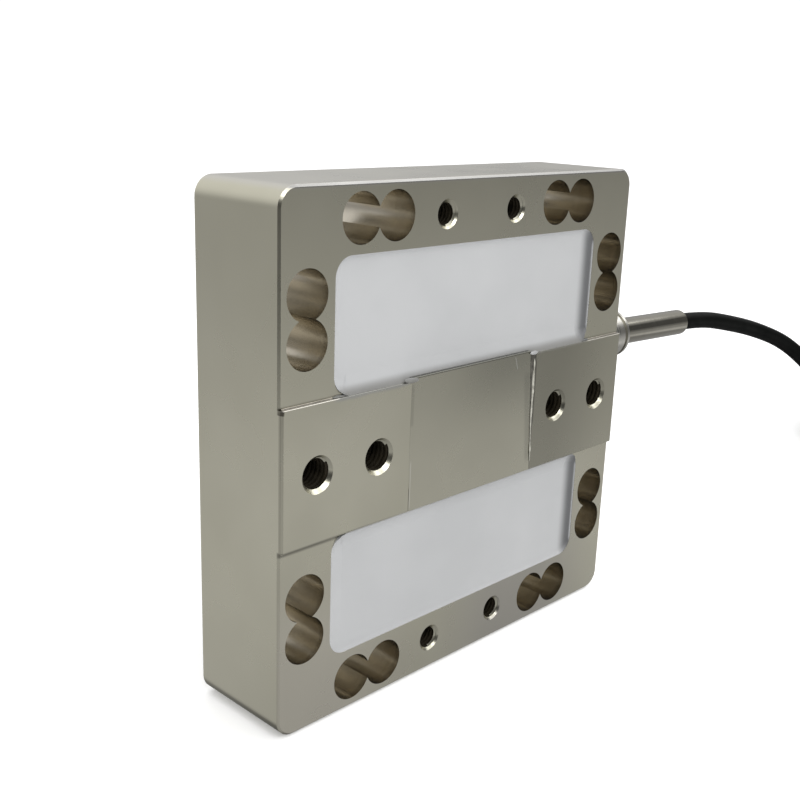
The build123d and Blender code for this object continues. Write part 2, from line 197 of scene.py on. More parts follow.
# %% [markdown]
# Two square lamps of soft light add what the room alone can't: one over the camera brightens the top
# and the front, and a weak one high on the right lights the gland's side.

# %% Lamps
block_middle = Vector((0.0, 0.0, 0.06))


def softbox(name, place, size, power):
    """A square area lamp at a place, turned to the middle of the block."""
    data = bpy.data.lights.new(name, "AREA")
    data.shape, data.size, data.energy = "SQUARE", size, power
    lamp = bpy.data.objects.new(name, data)
    bpy.context.scene.collection.objects.link(lamp)
    lamp.location = place
    lamp.rotation_euler = (block_middle - Vector(place)).to_track_quat("-Z", "Y").to_euler()


softbox("over_the_camera", (-0.25, -0.62, 0.72), 0.45, 2.6)
softbox("high_right", (0.70, -0.27, 0.75), 0.5, 0.9)
print("lamps:", len(bpy.data.lights))

# %% [markdown]
# Each finish starts from the Principled shader, and its patterns lie on Object coordinates, in metres.
# Nothing real has one colour and one gloss all over, so there are helpers for the three things that
# make a surface uneven: a tint between two colours, a roughness that varies, and a fine relief.

# %% Helpers for finishes
def finish(name, colour, metallic, roughness):
    """A new material with those values on its own Principled shader, and its tree."""
    material = bpy.data.materials.new(name)
    material.use_nodes = True
    shader = material.node_tree.nodes["Principled BSDF"]
    shader.inputs["Base Color"].default_value = (*colour, 1)
    shader.inputs["Metallic"].default_value = metallic
    shader.inputs["Roughness"].default_value = roughness
    return material, material.node_tree, shader


def noise(tree, scale, detail=4.0, stretch=(1, 1, 1)):
    """A noise texture on Object coordinates, stretched along an axis if asked."""
    place = tree.nodes.new("ShaderNodeTexCoord")
    mapping = tree.nodes.new("ShaderNodeMapping")
    mapping.inputs["Scale"].default_value = stretch
    texture = tree.nodes.new("ShaderNodeTexNoise")
    texture.inputs["Scale"].default_value = scale
    texture.inputs["Detail"].default_value = detail
    tree.links.new(place.outputs["Object"], mapping.inputs["Vector"])
    tree.links.new(mapping.outputs["Vector"], texture.inputs["Vector"])
    return texture.outputs["Fac"]


def vary(tree, shader, source, low, high):
    """Spreads a texture's middle values over a range of roughness."""
    spread = tree.nodes.new("ShaderNodeMapRange")
    spread.inputs["From Min"].default_value = 0.3
    spread.inputs["From Max"].default_value = 0.7
    spread.inputs["To Min"].default_value = low
    spread.inputs["To Max"].default_value = high
    tree.links.new(source, spread.inputs["Value"])
    tree.links.new(spread.outputs["Result"], shader.inputs["Roughness"])


def tint(tree, shader, source, first, second):
    """Mixes two colours by a texture."""
    ramp = tree.nodes.new("ShaderNodeValToRGB")
    ramp.color_ramp.elements[0].position = 0.35
    ramp.color_ramp.elements[0].color = (*first, 1)
    ramp.color_ramp.elements[1].position = 0.65
    ramp.color_ramp.elements[1].color = (*second, 1)
    tree.links.new(source, ramp.inputs["Fac"])
    tree.links.new(ramp.outputs["Color"], shader.inputs["Base Color"])


def relief(tree, shader, source, height):
    """A bump of that height, in metres, from a texture."""
    bump = tree.nodes.new("ShaderNodeBump")
    bump.inputs["Strength"].default_value = 1.0
    bump.inputs["Distance"].default_value = height
    tree.links.new(source, bump.inputs["Height"])
    tree.links.new(bump.outputs["Normal"], shader.inputs["Normal"])


def dress(names, material):
    """Gives CAD nodes a finished material."""
    for name in names:
        node[name].data.materials.clear()
        node[name].data.materials.append(material)


print("helpers for finishes are ready")

# %% [markdown]
# Dirt, wear, smears and painted shade lie at certain places, so each is a mask: a value that is 1
# where the mark is and fades to 0 beside it. A mask is the product of fades along the object's own
# axes, and one helper lays a colour over the finish through it, for a stain as for painted shade. A
# painted texture could do the same, but it would need a picture file and an unwrapped mesh.

# %% Helpers for masks
def fade(tree, source, start, end):
    """0 where the source is at the start value, 1 at the end value, smooth between."""
    step = tree.nodes.new("ShaderNodeMapRange")
    step.interpolation_type = "SMOOTHSTEP"
    step.inputs["From Min"].default_value = min(start, end)
    step.inputs["From Max"].default_value = max(start, end)
    if start > end:
        step.inputs["To Min"].default_value = 1.0
        step.inputs["To Max"].default_value = 0.0
    tree.links.new(source, step.inputs["Value"])
    return step.outputs["Result"]


def place_on(tree):
    """The three object coordinates of a surface, in metres."""
    place = tree.nodes.new("ShaderNodeTexCoord")
    parts = tree.nodes.new("ShaderNodeSeparateXYZ")
    tree.links.new(place.outputs["Object"], parts.inputs["Vector"])
    return parts.outputs["X"], parts.outputs["Y"], parts.outputs["Z"]


def mark(tree, start, end, half_width):
    """1 on a short straight mark on the face, from one (x, z) to another, and 0 beside it."""
    x, _, z = place_on(tree)
    run = Vector(end) - Vector(start)
    length, run = run.length, run.normalized()
    along = maths(tree, "ADD", times(tree, x, run.x), times(tree, z, run.y))
    beside = maths(tree, "SUBTRACT", times(tree, z, run.x), times(tree, x, run.y))
    middle = start[0] * run.x + start[1] * run.y + length / 2
    line = start[1] * run.x - start[0] * run.y
    off_middle = maths(tree, "ABSOLUTE", maths(tree, "SUBTRACT", along, middle))
    off_line = maths(tree, "ABSOLUTE", maths(tree, "SUBTRACT", beside, line))
    ends = fade(tree, off_middle, length / 2, 0.4 * length)
    return times(tree, fade(tree, off_line, half_width, 0.3 * half_width), ends)


def blend_in(tree, shader, name, mask, value):
    """Mixes a colour or a value over what already feeds a shader's socket, where the mask is 1."""
    socket = shader.inputs[name]
    mix = tree.nodes.new("ShaderNodeMix")
    if name == "Base Color":
        mix.data_type = "RGBA"
        first, second, result = mix.inputs[6], mix.inputs[7], mix.outputs[2]
        second.default_value = (*value, 1)
    else:
        first, second, result = mix.inputs[2], mix.inputs[3], mix.outputs[0]
        second.default_value = value
    if socket.is_linked:
        tree.links.new(socket.links[0].from_socket, first)
    else:
        first.default_value = socket.default_value
    tree.links.new(mask, mix.inputs[0])
    tree.links.new(result, socket)


def stain_and_shade(tree, shader, mask, share, colour):
    """Lays a share of a colour over the finish where the mask is 1."""
    blend_in(tree, shader, "Base Color", times(tree, mask, share), colour)


print("helpers for masks are ready")

# %% [markdown]
# The marks and the new pieces are placed from a few edges of the block, so these are named once. The
# block's own box, read to the micrometre, gives its middle, its top and the front of the raised bar,
# and the frame's front, the bar's edges and the pockets' walls are steps from there.

# %% Edges of the block
block_low, block_high = ([round(v, 6) for v in corner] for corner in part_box("sensor_body"))
top = block_high[2]
bar_middle = (block_low[2] + top) / 2
bar_front = block_low[1]
frame_front = bar_front + 0.001
bar_half, pocket_half = 0.0156, 0.0452
bar_top, bar_bottom = bar_middle + bar_half, bar_middle - bar_half
edge_break = 0.00025
print("bar from", round(bar_bottom, 4), "to", round(bar_top, 4), "m, front at", round(bar_front, 4))

# %% [markdown]
# The block is steel with a thin coat of satin nickel: a warm grey metal, blasted before plating, so
# it has a fine even grain, broad and barely visible clouds, and no brush marks.

# %% Satin nickel
def satin_nickel(name, dark, light, rough):
    """The block's and the plate's finish."""
    material, tree, shader = finish(name, light, 1.0, rough)
    tint(tree, shader, noise(tree, 22.0, 3.0), dark, light)
    vary(tree, shader, noise(tree, 60.0, 5.0), rough - 0.04, rough + 0.04)
    relief(tree, shader, noise(tree, 2600.0, 3.0), 0.000004)
    return material, tree, shader


nickel, tree, shader = satin_nickel("satin_nickel", (0.60, 0.58, 0.47), (0.64, 0.62, 0.51), 0.29)
print("satin nickel on", len(tree.nodes), "nodes")

# %% [markdown]
# The frame gets a few marks, and some shade is painted on it. A painted shadow runs along the
# corner under the bar's left end, a dark band lies on the frame just over its ledge, and painted shade
# darkens the spot where ledge and side meet and the side of the bar's left end. Its lower front is
# paler on the left and duller on the right, its top is a colder grey, and its upper broken edge has painted
# shade over its reflection.

# %% Marks and painted shade on the frame
x, y, z = place_on(tree)
on_bar = fade(tree, y, frame_front - 0.0003, frame_front - 0.0006)
near_front = fade(tree, y, frame_front + 0.0007, frame_front + 0.0002)
at_front = fade(tree, y, frame_front + 0.0007, frame_front + 0.0001)
# Painted shadow: a dark band on the frame just under the bar's left end.
shadow_under_bar = times(tree, fade(tree, z, bar_bottom + 0.0006, bar_bottom), fade(tree, x, -0.0200, -0.0520))
shadow_under_bar = times(tree, shadow_under_bar, fade(tree, z, bar_bottom - 0.0013, bar_bottom - 0.0006), near_front)
on_frame = maths(tree, "SUBTRACT", near_front, on_bar)
over_ledge = times(tree, fade(tree, z, bar_top + 0.0008, bar_top + 0.0002), on_frame)
over_ledge = times(tree, over_ledge, fade(tree, z, bar_top - 0.0001, bar_top))
# Painted shade: a dark spot where the ledge meets the left side, and the side face of the bar's left end.
corner_spot = times(tree, mark(tree, (-0.0596, 0.0760), (-0.0598, 0.0745), 0.0006), at_front)
step_edge = fade(tree, y, frame_front + 0.00005, frame_front - 0.00005)
step_side = times(tree, step_edge, fade(tree, x, -0.05990, -0.05996))
low_front = times(tree, fade(tree, z, 0.0420, 0.0170), at_front)
low_left = times(tree, low_front, fade(tree, x, -0.0100, -0.0450))
low_right = times(tree, low_front, fade(tree, x, -0.0150, 0.0150), fade(tree, x, 0.0600, 0.0300))
cold_top = fade(tree, z, top - 0.0015, top - 0.0001)
# Painted shade: the frame's upper broken edge is darkened over its reflection.
broken_edge = fade(tree, y, frame_front + 0.0006, frame_front + 0.0004)
upper_edge = times(tree, fade(tree, z, top - 0.0008, top - 0.0005), broken_edge)
frame_marks_and_shade = [
    (shadow_under_bar, 0.8, (0.20, 0.19, 0.16)), (over_ledge, 0.4, (0.25, 0.24, 0.20)),
    (corner_spot, 0.85, (0.10, 0.09, 0.07)), (step_side, 0.35, (0.10, 0.09, 0.07)),
    (low_left, 0.65, (0.79, 0.75, 0.655)), (low_right, 0.8, (0.50, 0.48, 0.44)),
    (cold_top, 0.6, (0.63, 0.615, 0.59)), (upper_edge, 0.95, (0.35, 0.345, 0.335)),
]
for mask, share, colour in frame_marks_and_shade:
    stain_and_shade(tree, shader, mask, share, colour)
print("marks on the frame:", len(frame_marks_and_shade))

# %% [markdown]
# On the bar a greyer band with a ragged border runs along the upper edge left of the plate. The
# broken edge itself is painted darker over its reflection: much darker between the pockets, a little at
# the ends. A thin painted shadow of the sealant bead runs beside the plate's right seam, and the end by the
# gland is darker than the rest.

# %% Marks and painted shade on the bar
# A greyer band along the bar's upper edge left of the plate, with a ragged border.
ragged_z = maths(tree, "ADD", z, times(tree, noise(tree, 260.0, 2.0), 0.0006))
grey_band = times(
    tree, fade(tree, ragged_z, bar_top - 0.0008, bar_top + 0.0002), on_bar, fade(tree, x, -0.0225, -0.0240),
    fade(tree, x, -0.0470, -0.0435),
)
# Painted shade: the bar's broken edge is darkened over its reflection, most between the pockets.
edge_of_bar = times(tree, fade(tree, z, bar_top - 0.00020, bar_top - 0.00014), on_bar)
between_walls = fade(tree, maths(tree, "ABSOLUTE", x), pocket_half - 0.0002, pocket_half - 0.0012)
shaded_edge_mid = times(tree, edge_of_bar, between_walls)
shaded_edge_ends = maths(tree, "SUBTRACT", edge_of_bar, shaded_edge_mid)
# Painted shadow of the sealant bead: a thin dark line beside the plate's right seam.
bead_shadow_line = times(tree, mark(tree, (0.02275, 0.0745), (0.02275, 0.0560), 0.0002), on_bar)
gland_end = maths(tree, "SUBTRACT", 0.42, times(tree, fade(tree, x, 0.0300, 0.0620), 0.26))
gland_end = times(tree, gland_end, on_bar, fade(tree, x, 0.0222, 0.0226))
bar_marks_and_shade = [
    (grey_band, 0.75, (0.50, 0.50, 0.49)), (shaded_edge_mid, 0.85, (0.13, 0.13, 0.12)),
    (shaded_edge_ends, 0.7, (0.42, 0.40, 0.38)), (bead_shadow_line, 0.7, (0.08, 0.078, 0.065)),
    (gland_end, 1.0, (0.03, 0.03, 0.03)),
]
for mask, share, colour in bar_marks_and_shade:
    stain_and_shade(tree, shader, mask, share, colour)
print("marks on the bar:", len(bar_marks_and_shade))

# %% [markdown]
# Two small places on the block get lit and shaded copies of the nickel: the fine fillet in the corner over
# the bar has a painted highlight, brighter than the faces, and the ledge on top of the bar has painted
# shade, duller.

# %% Painted highlight in the corner and painted shade on the ledge
# A lit copy of the nickel: a painted highlight on the fillet.
glint_nickel, tree, shader = finish("glint_nickel", (0.62, 0.59, 0.55), 1.0, 0.3)
tint(tree, shader, noise(tree, 150.0, 3.0), (0.50, 0.475, 0.44), (0.74, 0.70, 0.65))

# A shaded copy of the nickel: painted shade on the ledge.
shaded_ledge_nickel, tree, shader = finish("shaded_ledge_nickel", (0.27, 0.255, 0.21), 1.0, 0.34)
tint(tree, shader, noise(tree, 120.0, 3.0), (0.24, 0.23, 0.19), (0.30, 0.285, 0.235))
print("corner and ledge have their own nickel")

# %% [markdown]
# The cover plate was plated apart from the block and came out a shade darker. It has one bright
# scratch near its upper right corner, a smudge and a rubbed stretch along the left seam, a darker
# upper part, a stain beside the right seam, and painted shade over the reflection of its top edge.

# %% The plate's nickel
plate_nickel, tree, shader = satin_nickel("plate_nickel", (0.56, 0.543, 0.447), (0.60, 0.582, 0.48), 0.28)
x, _, z = place_on(tree)
scratch = mark(tree, (0.0141, 0.0758), (0.0152, 0.0723), 0.0002)
stain_and_shade(tree, shader, scratch, 0.9, (1.0, 0.99, 0.93))
blend_in(tree, shader, "Roughness", scratch, 0.55)
smudge = mark(tree, (-0.0222, 0.0752), (-0.0222, 0.0645), 0.0007)
rubbed = mark(tree, (-0.0221, 0.0570), (-0.0221, 0.0446), 0.00025)
more_to_the_right = maths(tree, "ADD", fade(tree, x, -0.0160, 0.0100), 0.4)
upper_part = times(tree, fade(tree, z, 0.0560, 0.0765), more_to_the_right)
by_seam = mark(tree, (0.0190, 0.0720), (0.0216, 0.0460), 0.0016)
# Painted shade: the plate's top edge is darkened over its reflection.
top_edge = fade(tree, z, 0.07595, 0.07625)
plate_marks_and_shade = [
    (smudge, 0.3, (0.30, 0.29, 0.24)), (rubbed, 0.5, (0.85, 0.84, 0.76)),
    (upper_part, 0.34, (0.20, 0.20, 0.17)), (by_seam, 0.3, (0.25, 0.245, 0.21)),
    (top_edge, 0.9, (0.09, 0.09, 0.08)),
]
for mask, share, colour in plate_marks_and_shade:
    stain_and_shade(tree, shader, mask, share, colour)
print("marks on the plate:", len(plate_marks_and_shade) + 1)

# %% [markdown]
# Pieces are opened in edit mode and their faces, edges or vertices are picked by where they are or
# which way they face, as one would click on them. A finished piece is put into the frame: its place
# goes into its mesh, it rides on the block and the CAD nodes it stands for are hidden.

# %% Helpers to pick by place and to settle a piece
def select_only(piece):
    """Deselects all, then selects one piece and makes it active."""
    bpy.ops.object.select_all(action="DESELECT")
    piece.select_set(True)
    bpy.context.view_layer.objects.active = piece


def edit(piece):
    """Opens one piece in edit mode, with nothing picked."""
    select_only(piece)
    bpy.ops.object.mode_set(mode="EDIT")
    bpy.ops.mesh.select_all(action="DESELECT")


def pick(piece, kind, test):
    """Picks the vertices, edges or faces of the open piece that pass a test on their middle."""
    bpy.ops.mesh.select_mode(type=kind)
    bpy.ops.mesh.select_all(action="DESELECT")
    bpy.ops.object.mode_set(mode="OBJECT")
    mesh = piece.data
    if kind == "FACE":
        for face in mesh.polygons:
            face.select = test(face.center, face.normal)
    elif kind == "EDGE":
        for edge in mesh.edges:
            first, second = (mesh.vertices[v].co for v in edge.vertices)
            edge.select = test((first + second) / 2, second - first)
    else:
        for vertex in mesh.vertices:
            vertex.select = test(vertex.co, None)
    bpy.ops.object.mode_set(mode="EDIT")


def settle(piece, name, material, slot, *stands_for):
    """Closes a piece's edit, puts its place into its mesh, names, dresses and mounts it."""
    if bpy.context.mode != "OBJECT":
        bpy.ops.object.mode_set(mode="OBJECT")
    select_only(piece)
    bpy.ops.object.transform_apply(location=True, rotation=True, scale=True)
    piece.name = name
    piece.data.materials.clear()
    piece.data.materials.append(material)
    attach(piece, "root")
    if stands_for:
        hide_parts(*stands_for)
    return piece


print("helpers for pieces are ready")

# %% [markdown]
# The block's bores are reamed and the plating is thinner in there, so they are browner and smoother
# than the faces. Painted shade darkens them just inside their mouths. Deep in the tapped holes the
# threads are painted near black: painted shade.

# %% Bores and threads
bored, tree, shader = finish("bored_nickel", (0.60, 0.555, 0.465), 1.0, 0.24)
tint(tree, shader, noise(tree, 90.0, 3.0), (0.57, 0.525, 0.435), (0.62, 0.575, 0.485))
_, y, _ = place_on(tree)
# Painted shade just inside the bores' mouths.
stain_and_shade(tree, shader, fade(tree, y, frame_front + 0.0020, frame_front + 0.0003), 0.35, (0.10, 0.09, 0.07))
vary(tree, shader, noise(tree, 700.0, 2.0, (0.02, 1.0, 0.02)), 0.22, 0.27)

# Painted shade: the threads deep in the tapped holes are near black.
threaded, tree, shader = finish("thread_in_shade", (0.03, 0.026, 0.02), 0.0, 0.5)
tint(tree, shader, noise(tree, 400.0, 3.0), (0.012, 0.010, 0.006), (0.028, 0.023, 0.015))
shader.inputs["Specular IOR Level"].default_value = 0.06
vary(tree, shader, noise(tree, 600.0, 2.0), 0.35, 0.5)
print("finishes for bores and threads")

# %% [markdown]
# The block's own CAD node stays as it is, and its looks go on a copy. The node's mesh is loose
# triangles, so the copy's doubles are merged first, which gives the tools below one closed skin. The
# bar's long edges were broken with a file and are finer than the drawing says.

# %% A copy of the block to work on
def merged_copy(name, new_name):
    """A copy of a CAD node as one closed skin, since the node itself is loose triangles."""
    piece = bpy.data.objects.new(new_name, node[name].data.copy())
    bpy.context.scene.collection.objects.link(piece)
    edit(piece)
    bpy.ops.mesh.select_all(action="SELECT")
    bpy.ops.mesh.remove_doubles(threshold=0.000002)
    bpy.ops.mesh.customdata_custom_splitnormals_clear()
    bpy.ops.object.mode_set(mode="OBJECT")
    return piece


def finer_edge(piece):
    """Draws the bar's long broken edges in, from a quarter of a millimetre to half of that."""
    near, drawn_in = 0.00003, 0.00012
    front_y, rear_y = bar_front, bar_front + edge_break
    edit(piece)
    for side in (-1, 1):
        front_z, rear_z = bar_middle + side * (bar_half - edge_break), bar_middle + side * bar_half
        pick(piece, "VERT", lambda co, _: abs(co.z - front_z) < near and co.y < front_y + near)
        bpy.ops.transform.translate(value=(0.0, 0.0, side * drawn_in))
        pick(piece, "VERT", lambda co, _: abs(co.z - rear_z) < near and abs(co.y - rear_y) < near)
        bpy.ops.transform.translate(value=(0.0, -drawn_in, 0.0))
    bpy.ops.object.mode_set(mode="OBJECT")


block = merged_copy("sensor_body", "machined_block")
finer_edge(block)
print("block, merged:", len(block.data.vertices), "vertices")

# %% [markdown]
# The tapped holes show real threads just inside their mouths, and the first turn runs out through the
# chamfer. A tap makes that shape in metal, so a tap makes it here too: a triangle, the sixty-degree
# tooth of an M6 or M8 thread, is turned into a helix with the Screw modifier. Eight such taps are taken
# out of the block with the Boolean modifier.

# %% Taps
def tap(place_x, place_z, major, pitch):
    """A helix tooth along Y through the block, at a hole's place."""
    start, travel = -0.016, 0.032
    tooth = pitch * 0.98 / 3 ** 0.5
    apex = major / 2 + 0.1 * pitch
    bpy.ops.object.select_all(action="DESELECT")
    bpy.ops.mesh.primitive_circle_add(vertices=3, radius=tooth, rotation=(0.0, 0.0, -pi / 2))
    helix = bpy.context.object
    helix.location = (apex - tooth, 0.0, 0.0)
    bpy.ops.object.transform_apply(location=True, rotation=True, scale=True)
    screw = helix.modifiers.new("screw", "SCREW")
    screw.axis, screw.screw_offset, screw.angle = "Y", pitch, 2 * pi
    screw.iterations = int(travel / pitch)
    screw.steps = screw.render_steps = 22
    screw.use_smooth_shade = False
    bpy.ops.object.modifier_apply(modifier="screw")
    helix.location = (place_x, start, place_z)
    bpy.ops.object.transform_apply(location=True, rotation=False, scale=False)
    edit(helix)
    bpy.ops.mesh.select_all(action="SELECT")
    bpy.ops.mesh.remove_doubles(threshold=0.000001)
    bpy.ops.mesh.select_all(action="SELECT")
    bpy.ops.mesh.fill_holes(sides=3)
    bpy.ops.mesh.select_all(action="SELECT")
    bpy.ops.mesh.normals_make_consistent(inside=False)
    bpy.ops.object.mode_set(mode="OBJECT")
    return helix


m6, m8 = (0.006, 0.001), (0.008, 0.00125)
frame_holes = [(x, z) for x in (-0.012, 0.012) for z in (0.008, top - 0.008)]
bar_holes = [(x, bar_middle) for x in (-0.05025, -0.03225, 0.03225, 0.05025)]
taps = [tap(x, z, *m6) for x, z in frame_holes] + [tap(x, z, *m8) for x, z in bar_holes]
for cutter in taps:
    select_only(block)
    cut = block.modifiers.new("cut", "BOOLEAN")
    cut.operation, cut.solver, cut.object = "DIFFERENCE", "EXACT", cutter
    bpy.ops.object.modifier_apply(modifier="cut")
    bpy.data.objects.remove(cutter)
print("block, threaded:", len(block.data.polygons), "faces")

# %% [markdown]
# The bores, the threads and the ledges on top of the bar get finishes of their own; those of the threads
# and the ledges are painted shade. A face belongs to a bore when it looks sideways and its middle lies
# within the bore's radius of one of the sixteen bore axes. It belongs to a thread when it lies within the
# tap's reach of a hole's axis and behind the place where the dark begins, a turn or so inside the mouth.

# %% Finishes on the block
bore_row, bore_first, bore_second, inside_bore = 0.0526, 0.028, 0.0381, 0.0056
bore_axes = [(s * a, t * bore_row) for s in (-1, 1) for t in (-1, 1) for a in (bore_first, bore_second)]
bore_axes += [(z, x) for x, z in bore_axes]
m6_reach, m6_dark_from = 0.0031, -0.0125
m8_reach, m8_dark_from = 0.0041, -0.0133
threads_end = 0.0133
tap_places = [(x, z, m6_reach, m6_dark_from) for x, z in frame_holes]
tap_places += [(x, z, m8_reach, m8_dark_from) for x, z in bar_holes]


def off_axis(middle, x, z):
    """How far a point is from an axis that runs straight through the block."""
    return ((middle.x - x) ** 2 + (middle.z - z) ** 2) ** 0.5


def in_a_bore(middle, normal):
    """True for a wall face inside one of the round holes."""
    sideways = abs(normal.y) <= 0.97
    return sideways and any(off_axis(middle, x, z + bar_middle) < inside_bore for x, z in bore_axes)


def deep_in_a_tap(middle, normal):
    """True for thread faces from just inside a mouth to just inside the other end."""
    return any(
        off_axis(middle, x, z) < reach and dark_from < middle.y < threads_end
        for x, z, reach, dark_from in tap_places
    )


def on_the_ledge(middle, normal):
    """True for the faces on top of the bar's ends."""
    return normal.z > 0.99 and abs(middle.z - bar_top) < 0.00003


block.data.materials.clear()
for material in (nickel, bored, threaded, shaded_ledge_nickel):
    block.data.materials.append(material)
edit(block)
for index, test in enumerate((in_a_bore, deep_in_a_tap, on_the_ledge), start=1):
    pick(block, "FACE", test)
    block.active_material_index = index
    bpy.ops.object.material_slot_assign()
bpy.ops.object.mode_set(mode="OBJECT")
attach(block, "root")
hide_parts("sensor_body")
select_only(block)
bpy.ops.object.shade_smooth_by_angle(angle=radians(25))
for index, material in enumerate(block.data.materials):
    print(material.name, "faces:", sum(face.material_index == index for face in block.data.polygons))

# %% [markdown]
# Where the frame meets the top of the bar there is a tiny fillet, left by the cutter's corner. It
# catches the light as a thin line beside the bar's own edge, and its nickel adds a painted highlight.
# It is a strip: a thin block along the corner, whose outer edge is bevelled away.

# %% Fillets over the bar
def corner_strip(name, low_x, high_x):
    """A strip along the inner corner above the bar, between two places across."""
    size = 0.00045
    bpy.ops.object.select_all(action="DESELECT")
    bpy.ops.mesh.primitive_cube_add(size=1.0, location=((low_x + high_x) / 2, frame_front, bar_top))
    strip = bpy.context.object
    strip.scale = (high_x - low_x, size, size)
    bpy.ops.object.transform_apply(location=True, rotation=True, scale=True)
    edit(strip)
    pick(strip, "EDGE", lambda co, run: abs(run.x) > size and co.y < frame_front and co.z > bar_top)
    bpy.ops.mesh.bevel(offset=size * 0.48, segments=2, affect="EDGES")
    return settle(strip, name, glint_nickel, "nickel_steel")


corner_strip("ledge_fillet_left", -0.0594, -0.0446)
strip = corner_strip("ledge_fillet_right", 0.0446, 0.0594)
print("faces on a strip:", len(strip.data.polygons))

# %% [markdown]
# The cover plate is glued in a little askew. Its top laps over the bar's top edge by most of a
# millimetre, its right edge leans in at the top, and its front stands a hair proud. Such a small lean
# needs no new plate: the vertices of a copy are moved, as one would pull them by hand.

# %% The cover plate
overlap, lean, proud = 0.0008, 0.0024, 0.00003
near_top, near_right = 0.0753, 0.0220
plate = merged_copy("cover_plate", "glued_cover_plate")
finer_edge(plate)
edit(plate)
pick(plate, "VERT", lambda co, _: co.z > near_top)
bpy.ops.transform.translate(value=(0.0, 0.0, overlap))
pick(plate, "VERT", lambda co, _: co.z > near_top and co.x > near_right)
bpy.ops.transform.translate(value=(-lean, 0.0, 0.0))
pick(plate, "VERT", lambda co, _: co.y < bar_front + 0.0003)
bpy.ops.transform.translate(value=(0.0, -proud, 0.0))
settle(plate, "glued_cover_plate", plate_nickel, "cover_metal", "cover_plate")
bpy.ops.object.shade_smooth_by_angle(angle=radians(25))
print("cover plate:", len(plate.data.polygons), "faces")

# %% [markdown]
# The collar and the sleeve of the gland are turned and bright, so they are smoother than the block,
# with fine rings from the lathe round their axis.

# %% Bright turned metal
def turned(name, colour, low, high):
    """Lathe-turned metal: smooth along its rings, which run round X."""
    material, tree, shader = finish(name, colour, 1.0, (low + high) / 2)
    rings = noise(tree, 900.0, 2.0, (1.0, 0.02, 0.02))
    tint(tree, shader, noise(tree, 300.0, 2.0), tuple(0.95 * c for c in colour), colour)
    vary(tree, shader, rings, low, high)
    relief(tree, shader, rings, 0.000002)
    return material


dress(["gland_collar"], turned("turned_collar", (0.70, 0.685, 0.63), 0.24, 0.34))
dress(["gland_sleeve"], turned("turned_sleeve", (0.44, 0.42, 0.36), 0.06, 0.13))
print("bright metal on the gland")

# %% [markdown]
# The potting is white silicone, poured in and left to level: smooth, a little glossy, very slightly
# cloudy. Beside and over the bar's edge a painted shade greys it. Along the right wall it has sunk a
# little, and a painted shade darkens it there.

# %% White silicone
silicone, tree, shader = finish("white_silicone", (0.385, 0.39, 0.395), 0.0, 0.42)
shader.inputs["Specular IOR Level"].default_value = 0.4
tint(tree, shader, noise(tree, 35.0, 3.0), (0.375, 0.38, 0.385), (0.405, 0.41, 0.415))
vary(tree, shader, noise(tree, 90.0, 4.0), 0.36, 0.48)
x, y, z = place_on(tree)
from_middle = maths(tree, "ABSOLUTE", maths(tree, "SUBTRACT", z, bar_middle))
to_bar = maths(tree, "SUBTRACT", from_middle, bar_half)
beside_bar = times(tree, fade(tree, to_bar, 0.0011, -0.0001), 0.6)
over_bar = times(tree, fade(tree, z, bar_top + 0.0024, bar_top + 0.0002), 0.95)
over_bar = times(tree, over_bar, fade(tree, z, bar_middle, bar_middle + 0.001))
shade_by_bar = maths(tree, "MAXIMUM", beside_bar, over_bar)
sunk = fade(tree, x, pocket_half - 0.0047, pocket_half - 0.0008)
sunk = times(tree, sunk, fade(tree, x, pocket_half, pocket_half - 0.0004))
at_front = fade(tree, y, frame_front + 0.0020, frame_front + 0.0010)
# Painted shade on the silicone beside and over the bar, and by the right wall.
stain_and_shade(tree, shader, times(tree, shade_by_bar, at_front), 1.0, (0.155, 0.153, 0.143))
stain_and_shade(tree, shader, times(tree, sunk, at_front), 0.95, (0.105, 0.107, 0.11))
relief(tree, shader, noise(tree, 70.0, 3.0), 0.00006)
print("silicone is mixed")

# %% [markdown]
# The silicone was poured into the two pockets through the face and wets their walls: it is nearly
# level, a little below the frame's front, and curves up in the last four millimetres. It climbs
# highest on the raised bar and just covers the bar's edge. A plain slab would show a hard step there,
# so each pour starts as a block with rounded corners. Its front face is inset ring after ring, each
# ring sinking less than the one before, and then drawn out step by step beside the bar.

# %% Pour the silicone
ring_widths = (0.00035, 0.0005, 0.0008, 0.0012, 0.0014)
ring_sinks = (0.00045, 0.00035, 0.0002, 0.00008, 0.00003)
bar_side_climbs = (
    (0.00015, 0.00018), (0.0004, 0.0002), (0.0009, 0.00025), (0.0017, 0.00025), (0.0029, 0.00025),
)
corner_radius, below_face, lip = 0.0045, 0.0001, 0.00035


